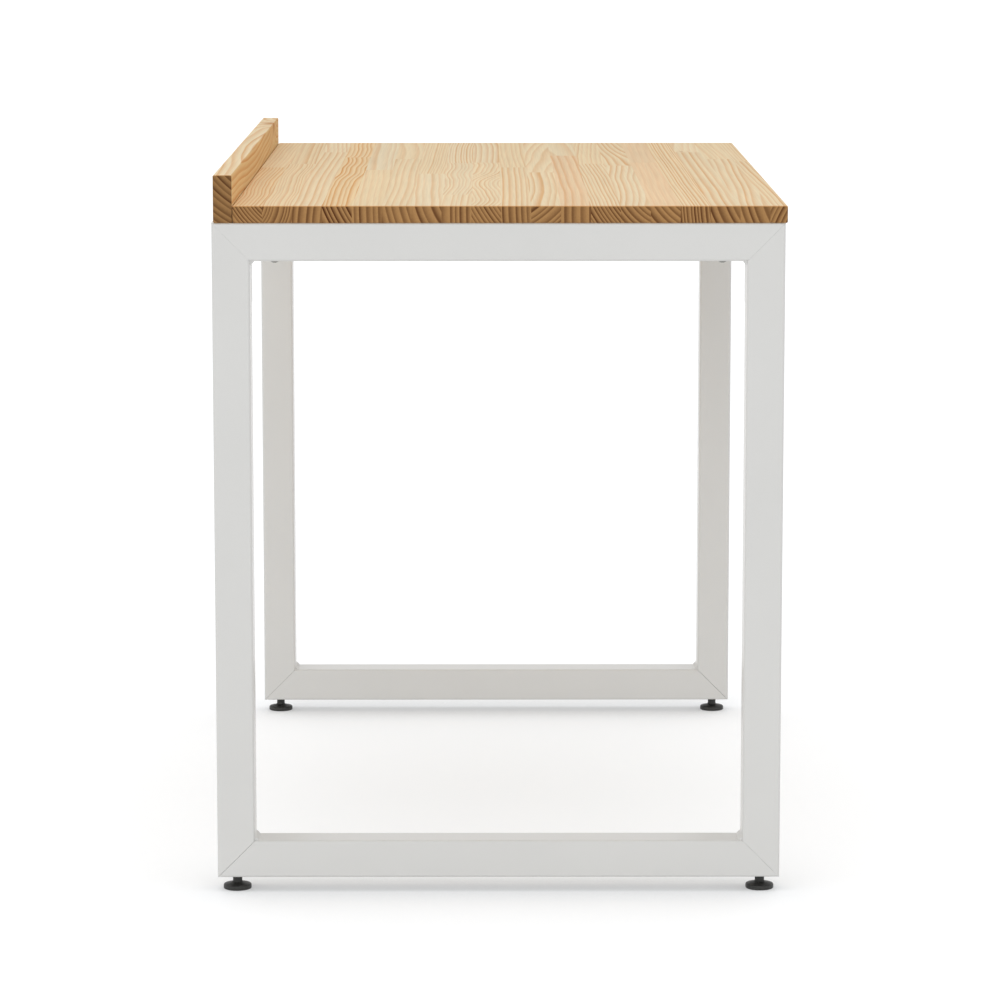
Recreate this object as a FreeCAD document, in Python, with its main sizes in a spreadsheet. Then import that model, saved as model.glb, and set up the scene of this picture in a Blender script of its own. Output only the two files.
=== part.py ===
import FreeCAD
import Part
import Sketcher
import math
import os
from types import SimpleNamespace

# An office desk: two welded loops of square tube, two long rails between them, a pine top with an
# upstand along its rear edge, and four levelling feet. Millimetres, with the length along X, the
# front towards -Y and the floor at Z = 0, under the middle of the desk.
DIMENSIONS = {
    # the whole desk
    "desk_length": 1000,
    "frame_depth": 600,
    "frame_height": 700,
    "foot_height": 16,
    # square steel tube, and the welded corners of the end frames
    "tube_size": 40,
    "tube_wall": 1.5,
    "tube_corner": 3,
    "tube_inner_corner": 1.5,
    "mitre_gap": 0.4,
    "weld_leg": 4.5,
    "weld_face_radius": 12,
    # pine top and upstand
    "top_thickness": 18,
    "front_overhang": 2,
    "rear_inset": 2,
    "upstand_height": 50,
    "upstand_thickness": 20,
    "arris_radius": 1.5,
    # dowels between the top and the upstand
    "dowel_diameter": 8,
    "dowel_in_top": 18,
    "dowel_in_upstand": 12,
    "dowel_chamfer": 1,
    "dowel_inset": 50,
    # end plates of the long rails, bolted to the legs
    "plate_thickness": 3,
    "plate_drop": 50,
    "plate_corner": 4,
    "bolt_drop": 15,
    "bolt_pitch": 25,
    "bolt_length": 16,
    "bolt_head_diameter": 10.5,
    "bolt_head_height": 3.3,
    "bolt_hole_clearance": 0.3,
    # threaded inserts in the tube walls, for the bolts and the feet
    "thread_diameter": 6,
    "thread_chamfer": 0.8,
    "thread_clearance": 0.05,
    "insert_diameter": 9,
    "insert_collar_diameter": 12,
    "insert_collar_height": 3,
    "insert_length": 14,
    "fit_clearance": 0.05,
    # wood screws, driven upwards through the tubes
    "screw_diameter": 5,
    "screw_bite": 10,
    "screw_tip": 5,
    "screw_head_diameter": 9,
    "screw_head_height": 3.4,
    "screw_head_rim": 1.4,
    "screw_hole_clearance": 0.25,
    "end_screw_inset": 65,
    "rail_screw_inset": 200,
    # levelling feet
    "glide_diameter": 30,
    "glide_rim_height": 4.8,
    "glide_bottom_round": 1,
    "glide_rim_round": 1.6,
    "glide_floor": 4,
    "neck_diameter": 10,
    "neck_foot_height": 7.2,
    "neck_round": 2.5,
    "stud_reach": 22,
}

TURN_X = FreeCAD.Vector(1, 0, 0)
TURN_Y = FreeCAD.Vector(0, 1, 0)
TURN_Z = FreeCAD.Vector(0, 0, 1)

doc = FreeCAD.newDocument("Desk")
nodes = []


class Size:
    """A length as a number, together with the sheet expression that gives it."""

    def __init__(self, number, text):
        self.number = number
        self.text = text

    def joined(self, sign, other, number):
        return Size(number, f"({self.text} {sign} {other.text})")

    def __add__(self, other):
        other = as_size(other)
        return self.joined("+", other, self.number + other.number)

    def __sub__(self, other):
        other = as_size(other)
        return self.joined("-", other, self.number - other.number)

    def __mul__(self, other):
        other = as_size(other)
        return self.joined("*", other, self.number * other.number)

    def __truediv__(self, other):
        other = as_size(other)
        return self.joined("/", other, self.number / other.number)

    def __neg__(self):
        return as_size(0) - self


def as_size(value):
    """A Size as it is, or a plain number as a Size."""
    return value if isinstance(value, Size) else Size(value, str(value))


def bind(thing, prop, value):
    """Drive a property by the sheet."""
    thing.setExpression(prop, as_size(value).text)


def read_sheet():
    """Fill the spreadsheet and return its cells as Sizes."""
    sheet = doc.addObject("Spreadsheet::Sheet", "Dims")
    for row, (alias, number) in enumerate(DIMENSIONS.items(), start=1):
        cell = f"B{row}"
        sheet.set(f"A{row}", alias)
        sheet.set(cell, str(number))
        sheet.setAlias(cell, alias)
    doc.recompute()
    return SimpleNamespace(**{alias: Size(sheet.get(alias), f"Dims.{alias}") for alias in DIMENSIONS})


d = read_sheet()


# Sketches and features

def new_body(name):
    """A body that carries this name as its label."""
    body = doc.addObject("PartDesign::Body", name)
    body.Label = name
    return body


def add_sketch(body, role, offset=0):
    """A sketch on one of the body's own planes, moved along that plane's normal by offset."""
    sketch = body.newObject("Sketcher::SketchObject", f"{body.Label}_sketch")
    plane = next(p for p in body.Origin.OriginFeatures if p.Role == role)
    sketch.AttachmentSupport = (plane, [""])
    sketch.MapMode = "FlatFace"
    bind(sketch, "AttachmentOffset.Base.z", offset)
    return sketch


def dimension(sketch, value, kind, *target):
    """Add a constraint whose value comes from the sheet."""
    value = as_size(value)
    index = sketch.addConstraint(Sketcher.Constraint(kind, *target, value.number))
    sketch.setExpression(f"Constraints[{index}]", value.text)


def arc_between(start, end, radius, clockwise):
    """The arc of under a half circle from start to end. Its own direction is always anticlockwise."""
    if clockwise:
        start, end = end, start
    chord = end - start
    reach = math.sqrt(radius ** 2 - (chord.Length / 2) ** 2)
    left = FreeCAD.Vector(-chord.y, chord.x, 0).normalize()
    centre = (start + end) / 2 + left * reach
    angles = [math.atan2(p.y - centre.y, p.x - centre.x) for p in (start, end)]
    if angles[1] < angles[0]:
        angles[1] += 2 * math.pi
    return Part.ArcOfCircle(Part.Circle(centre, TURN_Z, radius), *angles)


def add_outline(sketch, points, arcs=None):
    """A closed outline. arcs gives {side: (radius, clockwise)} for the sides that aren't straight."""
    arcs = arcs or {}
    spots = [FreeCAD.Vector(as_size(x).number, as_size(y).number, 0) for x, y in points]
    count = len(points)
    sides = []
    for side, start in enumerate(spots):
        end = spots[(side + 1) % count]
        if side in arcs:
            radius, clockwise = arcs[side]
            edge = sketch.addGeometry(arc_between(start, end, as_size(radius).number, clockwise))
            dimension(sketch, radius, "Radius", edge)
            sides.append((edge, 2, 1) if clockwise else (edge, 1, 2))
        else:
            sides.append((sketch.addGeometry(Part.LineSegment(start, end)), 1, 2))
    for side, (edge, first, last) in enumerate(sides):
        following = sides[(side + 1) % count]
        sketch.addConstraint(Sketcher.Constraint("Coincident", edge, last, following[0], following[1]))
        dimension(sketch, points[side][0], "DistanceX", edge, first)
        dimension(sketch, points[side][1], "DistanceY", edge, first)


def add_rounded_rectangle(sketch, width, height, corner):
    """A rectangle about the sketch's origin, with round corners."""
    x, y = width / 2, height / 2
    flat_x, flat_y = x - corner, y - corner
    points = [(-flat_x, -y), (flat_x, -y), (x, -flat_y), (x, flat_y),
              (flat_x, y), (-flat_x, y), (-x, flat_y), (-x, -flat_y)]
    add_outline(sketch, points, {side: (corner, False) for side in (1, 3, 5, 7)})


def add_circles(sketch, centres, diameter):
    """Round holes of one size."""
    for x, y in centres:
        spot = FreeCAD.Vector(as_size(x).number, as_size(y).number, 0)
        edge = sketch.addGeometry(Part.Circle(spot, TURN_Z, as_size(diameter).number / 2))
        dimension(sketch, diameter, "Diameter", edge)
        dimension(sketch, x, "DistanceX", edge, 3)
        dimension(sketch, y, "DistanceY", edge, 3)


def pad(body, sketch, length, side_type="Symmetric"):
    """Extrude a sketch, to both sides of its plane unless side_type says otherwise."""
    feature = body.newObject("PartDesign::Pad", f"{body.Label}_pad")
    feature.Profile = sketch
    feature.SideType = side_type
    bind(feature, "Length", length)
    doc.recompute()
    return feature


def pocket(body, sketch, depth=None, along_normal=None):
    """Cut a sketch out, to a depth or right through. along_normal None cuts to both sides."""
    before = body.Shape.Volume
    feature = body.newObject("PartDesign::Pocket", f"{body.Label}_pocket")
    feature.Profile = sketch
    if along_normal is None:
        feature.SideType = "Symmetric"
    else:
        feature.Reversed = along_normal
    if depth is None:
        feature.Type = "ThroughAll"
    else:
        bind(feature, "Length", depth)
    doc.recompute()
    if body.Shape.Volume >= before:
        raise RuntimeError(f"{body.Label}: a pocket cut nothing")


def round_edges(body, radius, wanted=lambda edge: True):
    """Fillet the edges of the body that pass the test, or all of them if no test is given."""
    base = body.Tip
    names = [f"Edge{i}" for i, edge in enumerate(base.Shape.Edges, start=1) if wanted(edge)]
    feature = body.newObject("PartDesign::Fillet", f"{body.Label}_round")
    feature.Base = (base, names)
    bind(feature, "Radius", radius)
    doc.recompute()


def turned(name, points, arcs=None):
    """A turned piece about the local Z axis, from points of (radius, height)."""
    body = new_body(name)
    sketch = add_sketch(body, "XZ_Plane")
    add_outline(sketch, points, arcs)
    feature = body.newObject("PartDesign::Revolution", f"{name}_turn")
    feature.Profile = sketch
    feature.ReferenceAxis = (sketch, ["V_Axis"])
    feature.Angle = 360
    doc.recompute()
    return body


# Nodes and their places

def turn(axis, degrees):
    return FreeCAD.Rotation(axis, degrees)


def place(thing, x, y, z, rotation=FreeCAD.Rotation()):
    """Put a piece at a point that follows the sheet."""
    thing.Placement = FreeCAD.Placement(FreeCAD.Vector(), rotation)
    for axis, value in zip("xyz", (x, y, z)):
        bind(thing, f"Placement.Base.{axis}", value)


def add_node(thing, x, y, z, rotation=FreeCAD.Rotation()):
    """Place a finished piece and list it as a node of the desk."""
    place(thing, x, y, z, rotation)
    nodes.append(thing)


def add_group(name, master, places):
    """One node of like pieces: copies of a master, each at (x, y, z, rotation)."""
    links = []
    for spot in places:
        link = doc.addObject("App::Link", f"{name}_copy")
        link.LinkedObject = master
        place(link, *spot)
        links.append(link)
    group = doc.addObject("Part::Compound", name)
    group.Label = name
    group.Links = links
    nodes.append(group)


# Places that several pieces share

half_length = d.desk_length / 2
half_tube = d.tube_size / 2
frame_y = d.front_overhang / 2
frame_bottom = d.foot_height
frame_top = d.foot_height + d.frame_height
frame_middle = d.foot_height + d.frame_height / 2
leg_x = half_length - half_tube
leg_reach = d.frame_depth / 2 - half_tube
inner_face_x = half_length - d.tube_size
plate_face_x = inner_face_x - d.plate_thickness
rail_z = frame_top - half_tube
rail_underside = frame_top - d.tube_size
bolt_heights = [rail_underside - d.bolt_drop, rail_underside - d.bolt_drop - d.bolt_pitch]

front_edge = frame_y - d.frame_depth / 2 - d.front_overhang
upstand_rear = frame_y + d.frame_depth / 2 - d.rear_inset
seam_y = upstand_rear - d.upstand_thickness
upstand_y = upstand_rear - d.upstand_thickness / 2
top_depth = seam_y - front_edge
top_y = (front_edge + seam_y) / 2

end_screw_reach = d.frame_depth / 2 - d.end_screw_inset
rail_screw_xs = [(half_length - d.rail_screw_inset) * step for step in (-1, 0, 1)]
dowel_xs = [(half_length - d.dowel_inset) / 3 * step for step in (-3, -1, 1, 3)]
dowel_z = d.top_thickness / 2

insert_hole = d.insert_diameter + d.fit_clearance * 2
screw_hole = d.screw_diameter + d.screw_hole_clearance * 2
pilot_hole = d.screw_diameter + d.fit_clearance * 2
pilot_depth = d.screw_bite + d.fit_clearance
dowel_hole = d.dowel_diameter + d.fit_clearance * 2

SIDES = {"left": -1, "right": 1}
ENDS = {"front": -1, "rear": 1}


# Square tube

def square_tube(name, plane, length):
    """A straight hollow tube along the normal of a plane, about its own middle."""
    body = new_body(name)
    sketch = add_sketch(body, plane)
    bore = d.tube_size - d.tube_wall * 2
    add_rounded_rectangle(sketch, d.tube_size, d.tube_size, d.tube_corner)
    add_rounded_rectangle(sketch, bore, bore, d.tube_inner_corner)
    pad(body, sketch, length)
    return body


def mitred_tube(name, length):
    """A tube along Y whose ends are cut at 45 degrees, with its long face on +Z."""
    body = square_tube(name, "XZ_Plane", length)
    sketch = add_sketch(body, "YZ_Plane")
    top, bottom = half_tube + d.tube_size, -half_tube - d.tube_size
    for end in (-1, 1):
        tip = (length / 2 - d.mitre_gap / 2 + d.tube_size) * end
        heel = (length / 2 - d.mitre_gap / 2 - d.tube_size * 2) * end
        add_outline(sketch, [(tip, top), (heel, bottom), (tip, bottom)])
    pocket(body, sketch)
    return body


def cut_holes(body, plane, centres, diameter, along_normal=None):
    """Drill a tube across its middle plane: both walls, or only the wall on one side."""
    sketch = add_sketch(body, plane)
    add_circles(sketch, centres, diameter)
    pocket(body, sketch, along_normal=along_normal)


def add_end_frame(side_name):
    """The four tubes of one welded end frame."""
    side = SIDES[side_name]
    x = leg_x * side

    top_rail = mitred_tube(f"{side_name}_top_rail", d.frame_depth)
    cut_holes(top_rail, "XY_Plane", [(0, end_screw_reach * end) for end in (-1, 1)], screw_hole)
    add_node(top_rail, x, frame_y, rail_z)

    bottom_rail = mitred_tube(f"{side_name}_bottom_rail", d.frame_depth)
    cut_holes(bottom_rail, "XY_Plane", [(0, leg_reach * end) for end in (-1, 1)], insert_hole, True)
    add_node(bottom_rail, x, frame_y, frame_bottom + half_tube, turn(TURN_X, 180))

    for end_name, end in ENDS.items():
        leg = mitred_tube(f"{side_name}_{end_name}_leg", d.frame_height)
        centres = [((frame_middle - height) * end, 0) for height in bolt_heights]
        cut_holes(leg, "YZ_Plane", centres, insert_hole, side < 0)
        add_node(leg, x, frame_y + leg_reach * end, frame_middle, turn(TURN_X, -90 * end))


def add_long_rail(end_name, screw_y):
    """A rail between the end frames, with a bolted plate welded on each end."""
    rail_y = frame_y + leg_reach * ENDS[end_name]
    rail = square_tube(f"{end_name}_rail", "YZ_Plane", plate_face_x * 2)
    cut_holes(rail, "XY_Plane", [(x, screw_y - rail_y) for x in rail_screw_xs], screw_hole)
    add_node(rail, 0, rail_y, rail_z)

    plate_height = d.tube_size + d.plate_drop
    plate_z = frame_top - plate_height / 2
    for side_name, side in SIDES.items():
        plate = new_body(f"{end_name}_rail_{side_name}_plate")
        sketch = add_sketch(plate, "YZ_Plane")
        add_rounded_rectangle(sketch, d.tube_size, plate_height, d.plate_corner)
        add_circles(sketch, [(0, height - plate_z) for height in bolt_heights],
                    d.thread_diameter + d.bolt_hole_clearance * 2)
        pad(plate, sketch, d.plate_thickness)
        add_node(plate, (plate_face_x + d.plate_thickness / 2) * side, rail_y, plate_z)


# Weld beads

def weld_bead():
    """A bead along X with a rounded face, in the corner between the local Y and Z planes."""
    body = new_body("weld_bead")
    sketch = add_sketch(body, "YZ_Plane")
    add_outline(sketch, [(0, 0), (d.weld_leg, 0), (0, d.weld_leg)], {1: (d.weld_face_radius, False)})
    pad(body, sketch, d.tube_size - d.tube_corner * 2)
    return body


def add_welds():
    """A bead in each inner corner of each end frame, and under each end of the long rails."""
    bead = weld_bead()
    reach = d.frame_depth / 2 - d.tube_size
    low, high = frame_bottom + d.tube_size, rail_underside
    corners = [(-1, low, 0), (1, low, 90), (1, high, 180), (-1, high, 270)]
    for side_name, side in SIDES.items():
        add_group(f"{side_name}_frame_welds", bead,
                  [(leg_x * side, frame_y + reach * end, z, turn(TURN_X, degrees))
                   for end, z, degrees in corners])
    add_group("rail_welds", bead,
              [(plate_face_x * side, frame_y + leg_reach * end, rail_underside,
                turn(TURN_Z, 90 * side) * turn(TURN_X, 270))
               for side in SIDES.values() for end in ENDS.values()])


# Threaded inserts, bolts and wood screws

def threaded_insert():
    """A rivet nut, flush with the tube's outer face at Z = 0 and with its collar behind the wall."""
    bore = d.thread_diameter / 2 + d.thread_clearance
    barrel = d.insert_diameter / 2
    collar = d.insert_collar_diameter / 2
    collar_end = d.tube_wall + d.insert_collar_height
    return turned("threaded_insert", [
        (bore, 0), (barrel, 0), (barrel, d.tube_wall), (collar, d.tube_wall), (collar, collar_end),
        (barrel, collar_end), (barrel, d.insert_length), (bore, d.insert_length)])


def dome_radius(reach, rise):
    """The radius of a round cap of this reach and rise."""
    return (reach * reach + rise * rise) / (rise * 2)


def rail_bolt():
    """A button-head bolt with its head below Z = 0 and its shank above."""
    head = d.bolt_head_diameter / 2
    shank = d.thread_diameter / 2
    return turned("rail_bolt", [
        (0, -d.bolt_head_height), (head, 0), (shank, 0), (shank, d.bolt_length - d.thread_chamfer),
        (shank - d.thread_chamfer, d.bolt_length), (0, d.bolt_length)],
        {0: (dome_radius(head, d.bolt_head_height), False)})


def wood_screw():
    """A pan-head screw with its head below Z = 0, long enough to cross a tube and bite into wood."""
    head = d.screw_head_diameter / 2
    shank = d.screw_diameter / 2
    length = d.tube_size + d.screw_bite
    return turned("wood_screw", [
        (0, -d.screw_head_height), (head, -d.screw_head_rim), (head, 0), (shank, 0),
        (shank, length - d.screw_tip), (0, length)],
        {0: (dome_radius(head, d.screw_head_height - d.screw_head_rim), False)})


def add_fasteners():
    """All inserts, bolts and screws, as groups."""
    upright = FreeCAD.Rotation()
    insert = threaded_insert()
    corners = [(side, end) for side in SIDES.values() for end in ENDS.values()]
    bolt_spots = [(side, end, z) for side, end in corners for z in bolt_heights]
    add_group("foot_inserts", insert,
              [(leg_x * side, frame_y + leg_reach * end, frame_bottom, upright) for side, end in corners])
    add_group("rail_bolt_inserts", insert,
              [(inner_face_x * side, frame_y + leg_reach * end, z, turn(TURN_Y, 90 * side))
               for side, end, z in bolt_spots])
    add_group("rail_bolts", rail_bolt(),
              [(plate_face_x * side, frame_y + leg_reach * end, z, turn(TURN_Y, 90 * side))
               for side, end, z in bolt_spots])

    screw = wood_screw()
    add_group("end_rail_screws", screw,
              [(leg_x * side, frame_y + end_screw_reach * end, rail_underside, upright)
               for side, end in corners])
    add_group("front_rail_screws", screw,
              [(x, frame_y - leg_reach, rail_underside, upright) for x in rail_screw_xs])
    add_group("upstand_screws", screw,
              [(x, upstand_y, rail_underside, upright) for x in rail_screw_xs])


# Wood

def add_top():
    """The glued pine panel, with every edge eased."""
    top = new_body("tabletop")
    sketch = add_sketch(top, "XY_Plane")
    x, y = half_length, top_depth / 2
    add_outline(sketch, [(-x, -y), (x, -y), (x, y), (-x, y)])
    pad(top, sketch, d.top_thickness, "One side")
    round_edges(top, d.arris_radius)

    pilots = [(leg_x * side, frame_y + end_screw_reach * end - top_y)
              for side in SIDES.values() for end in ENDS.values()]
    pilots += [(spot, frame_y - leg_reach - top_y) for spot in rail_screw_xs]
    sketch = add_sketch(top, "XY_Plane")
    add_circles(sketch, pilots, pilot_hole)
    pocket(top, sketch, pilot_depth, True)

    sketch = add_sketch(top, "XZ_Plane", -y)
    add_circles(sketch, [(spot, dowel_z) for spot in dowel_xs], dowel_hole)
    pocket(top, sketch, d.dowel_in_top + d.fit_clearance, True)
    add_node(top, 0, top_y, frame_top)


def add_upstand():
    """The pine board that stands along the rear edge, with every edge eased."""
    upstand = new_body("upstand")
    sketch = add_sketch(upstand, "XY_Plane")
    x, y = half_length, d.upstand_thickness / 2
    add_outline(sketch, [(-x, -y), (x, -y), (x, y), (-x, y)])
    pad(upstand, sketch, d.upstand_height, "One side")
    round_edges(upstand, d.arris_radius)

    sketch = add_sketch(upstand, "XY_Plane")
    add_circles(sketch, [(spot, 0) for spot in rail_screw_xs], pilot_hole)
    pocket(upstand, sketch, pilot_depth, True)

    sketch = add_sketch(upstand, "XZ_Plane", y)
    add_circles(sketch, [(spot, dowel_z) for spot in dowel_xs], dowel_hole)
    pocket(upstand, sketch, d.dowel_in_upstand + d.fit_clearance, False)
    add_node(upstand, 0, upstand_y, frame_top)


def add_dowels():
    """Beech dowels across the seam, with chamfered ends."""
    radius = d.dowel_diameter / 2
    tip = radius - d.dowel_chamfer
    start, end = -d.dowel_in_top, d.dowel_in_upstand
    dowel = turned("dowel", [
        (0, start), (tip, start), (radius, start + d.dowel_chamfer), (radius, end - d.dowel_chamfer),
        (tip, end), (0, end)])
    along_y = turn(TURN_X, -90)
    add_group("upstand_dowels", dowel, [(x, seam_y, frame_top + dowel_z, along_y) for x in dowel_xs])


# Levelling feet

def foot_glide(name):
    """A moulded nylon base: a round disc that slopes up to a neck, with a socket for the stud."""
    disc, neck = d.glide_diameter / 2, d.neck_diameter / 2
    socket = d.thread_diameter / 2 + d.thread_clearance
    neck_top = d.foot_height - d.thread_clearance
    body = turned(name, [
        (0, 0), (disc, 0), (disc, d.glide_rim_height), (neck, d.neck_foot_height), (neck, neck_top),
        (socket, neck_top), (socket, d.glide_floor), (0, d.glide_floor)])
    corners = [(disc, as_size(0), d.glide_bottom_round), (disc, d.glide_rim_height, d.glide_rim_round),
               (neck, d.neck_foot_height, d.neck_round)]
    for radius, height, rounding in corners:
        round_edges(body, rounding, lambda edge: is_circle(edge, radius.number, height.number))
    return body


def is_circle(edge, radius, height):
    """Whether an edge is the full circle of this radius at this height."""
    return (isinstance(edge.Curve, Part.Circle)
            and math.isclose(edge.Curve.Radius, radius, abs_tol=1e-6)
            and math.isclose(edge.Curve.Center.z, height, abs_tol=1e-6))


def foot_stud(name):
    """The steel stud, seated in the glide's socket and reaching up through the insert."""
    radius = d.thread_diameter / 2
    tip = radius - d.thread_chamfer
    start = d.glide_floor + d.thread_clearance
    end = d.foot_height + d.stud_reach
    return turned(name, [
        (0, start), (tip, start), (radius, start + d.thread_chamfer), (radius, end - d.thread_chamfer),
        (tip, end), (0, end)])


def add_feet():
    for side_name, side in SIDES.items():
        for end_name, end in ENDS.items():
            corner = f"{side_name}_{end_name}"
            x, y = leg_x * side, frame_y + leg_reach * end
            add_node(foot_glide(f"{corner}_glide"), x, y, 0)
            add_node(foot_stud(f"{corner}_stud"), x, y, 0)


# Checks and files

def check_document():
    """Stop if any object failed, or if a node's shape is missing or not valid."""
    doc.recompute()
    for thing in doc.Objects:
        if {"Invalid", "Error"} & set(thing.State):
            raise RuntimeError(f"{thing.Label} failed: {thing.State}")
    for node in nodes:
        if node.Shape.isNull() or not node.Shape.isValid() or not node.Shape.Solids:
            raise RuntimeError(f"{node.Label} has no valid solid")


def write_parts():
    os.makedirs("parts", exist_ok=True)
    for node in nodes:
        node.Shape.exportStep(f"parts/{node.Label}.step")


add_end_frame("left")
add_end_frame("right")
add_long_rail("front", frame_y - leg_reach)
add_long_rail("rear", upstand_y)
add_welds()
add_fasteners()
add_top()
add_upstand()
add_dowels()
add_feet()
check_document()
write_parts()
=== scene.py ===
import math
import random

import bmesh
import bpy
from mathutils import Matrix, Vector


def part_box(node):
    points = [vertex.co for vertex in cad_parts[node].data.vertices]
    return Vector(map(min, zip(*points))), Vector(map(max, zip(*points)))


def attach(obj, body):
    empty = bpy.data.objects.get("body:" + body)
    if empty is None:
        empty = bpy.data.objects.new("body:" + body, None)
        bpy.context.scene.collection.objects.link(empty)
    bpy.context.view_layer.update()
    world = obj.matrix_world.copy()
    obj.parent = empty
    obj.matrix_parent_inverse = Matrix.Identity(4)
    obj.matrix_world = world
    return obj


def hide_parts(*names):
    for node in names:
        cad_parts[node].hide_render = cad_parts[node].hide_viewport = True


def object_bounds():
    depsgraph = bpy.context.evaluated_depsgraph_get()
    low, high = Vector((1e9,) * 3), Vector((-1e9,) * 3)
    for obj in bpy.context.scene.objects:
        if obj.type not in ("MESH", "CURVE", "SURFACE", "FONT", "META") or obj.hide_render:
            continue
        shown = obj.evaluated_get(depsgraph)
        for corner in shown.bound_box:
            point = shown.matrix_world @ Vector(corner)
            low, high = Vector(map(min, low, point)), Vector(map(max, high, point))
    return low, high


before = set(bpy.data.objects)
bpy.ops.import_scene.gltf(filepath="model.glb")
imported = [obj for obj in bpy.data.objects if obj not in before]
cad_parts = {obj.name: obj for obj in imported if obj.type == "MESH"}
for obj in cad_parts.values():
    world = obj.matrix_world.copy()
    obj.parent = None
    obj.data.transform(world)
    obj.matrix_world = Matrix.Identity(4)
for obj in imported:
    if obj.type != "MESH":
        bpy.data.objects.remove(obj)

cad_low, cad_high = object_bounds()


# End frames: two closed loops of square steel tube, mitred at the corners, welded and ground flush.
# They are powder coated white, a satin coat with a faint orange peel. Each tube is its own piece,
# so that a mitre shows as a hairline through the coat, fainter where the weld fills it better.

mm = 0.001
merge_distance = 0.001 * mm
crease = math.radians(30)


def paint(red, green, blue):
    """A colour as a screen shows it, 0 to 255, turned by the sRGB curve into a shader's linear values."""
    def linear(level):
        share = level / 255
        return share / 12.92 if share <= 0.04045 else ((share + 0.055) / 1.055) ** 2.4
    return linear(red), linear(green), linear(blue), 1


def add_node(tree, kind, inputs=None, **settings):
    """Adds a node, sets its options, then links or fills the inputs that are given."""
    made = tree.nodes.new(kind)
    for name, value in settings.items():
        setattr(made, name, value)
    for key, value in (inputs or {}).items():
        if isinstance(value, bpy.types.NodeSocket):
            tree.links.new(value, made.inputs[key])
        else:
            made.inputs[key].default_value = value
    return made


def new_finish(name):
    """A new material, its node tree and its shader."""
    finish = bpy.data.materials.new(name)
    finish.use_nodes = True
    return finish, finish.node_tree, finish.node_tree.nodes["Principled BSDF"]


def plug(tree, shader, inputs):
    """Links or fills the shader's inputs."""
    for key, value in inputs.items():
        if isinstance(value, bpy.types.NodeSocket):
            tree.links.new(value, shader.inputs[key])
        else:
            shader.inputs[key].default_value = value


def stretch(tree, value, low, high, source_low=0.0, source_high=1.0):
    """Spreads a value from one range over another."""
    return add_node(tree, "ShaderNodeMapRange", {
        "Value": value, "From Min": source_low, "From Max": source_high,
        "To Min": low, "To Max": high}).outputs["Result"]


def mix_colours(tree, factor, first, second, blend="MIX"):
    """Two colours mixed by a factor: the node has sockets 0, 6 and 7 for them, and result 2 for colour."""
    return add_node(tree, "ShaderNodeMix", {0: factor, 6: first, 7: second},
                    data_type="RGBA", blend_type=blend).outputs[2]


def add_piece(name, mesh, finish):
    """A new object of one mesh and one finish, at the origin."""
    mesh.materials.clear()
    mesh.materials.append(finish)
    piece = bpy.data.objects.new(name, mesh)
    bpy.context.scene.collection.objects.link(piece)
    return piece


def settle(piece):
    """Turns what the modifiers make into the piece's own plain mesh."""
    bpy.context.view_layer.update()
    graph = bpy.context.evaluated_depsgraph_get()
    mesh = bpy.data.meshes.new_from_object(
        piece.evaluated_get(graph), preserve_all_data_layers=True, depsgraph=graph)
    mesh.name = piece.name
    piece.modifiers.clear()
    piece.data = mesh


def shade_rounds(piece):
    """Smooth shading over rounded edges that leaves the flat faces flat."""
    piece.data.shade_smooth()
    piece.data.set_sharp_from_angle(angle=crease)
    even = piece.modifiers.new("even_normals", "WEIGHTED_NORMAL")
    even.keep_sharp = True
    settle(piece)


def smooth_copy(name, node, finish):
    """A piece with a node's own shape, its triangles merged and its rounded corners shaded smooth."""
    shape = bmesh.new()
    shape.from_mesh(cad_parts[node].data)
    bmesh.ops.remove_doubles(shape, verts=shape.verts, dist=merge_distance)
    mesh = bpy.data.meshes.new(name)
    shape.to_mesh(mesh)
    shape.free()
    if "custom_normal" in mesh.attributes:
        mesh.attributes.remove(mesh.attributes["custom_normal"])
    piece = add_piece(name, mesh, finish)
    shade_rounds(piece)
    return piece


def fit(piece, body, slot, *nodes):
    """Hangs a finished piece on its body, in place of the nodes that it stands for."""
    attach(piece, body)
    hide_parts(*nodes)


coat_dark = paint(211, 211, 209)
coat_pale = paint(216, 216, 214)
coat_cloud_scale = 9.0
coat_roughness = (0.26, 0.34)
peel_scale = 420.0
peel_strength = 0.06
peel_height = 0.25 * mm


def powder_coat():
    """White satin powder coat: faint cloudiness, orange peel and a slightly uneven gloss."""
    finish, tree, shader = new_finish("white_powder_coat")
    place = add_node(tree, "ShaderNodeTexCoord").outputs["Object"]
    clouds = add_node(tree, "ShaderNodeTexNoise", {
        "Vector": place, "Scale": coat_cloud_scale, "Detail": 3.0})
    peel = add_node(tree, "ShaderNodeTexNoise", {"Vector": place, "Scale": peel_scale, "Detail": 2.0})
    relief = add_node(tree, "ShaderNodeBump", {
        "Height": peel.outputs[0], "Strength": peel_strength, "Distance": peel_height})
    plug(tree, shader, {
        "Base Color": mix_colours(tree, clouds.outputs[0], coat_dark, coat_pale),
        "Roughness": stretch(tree, clouds.outputs[0], *coat_roughness),
        "Specular IOR Level": 0.5,
        "Coat Weight": 0.3,
        "Coat Roughness": 0.24,
        "Normal": relief.outputs[0]})
    return finish


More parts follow.
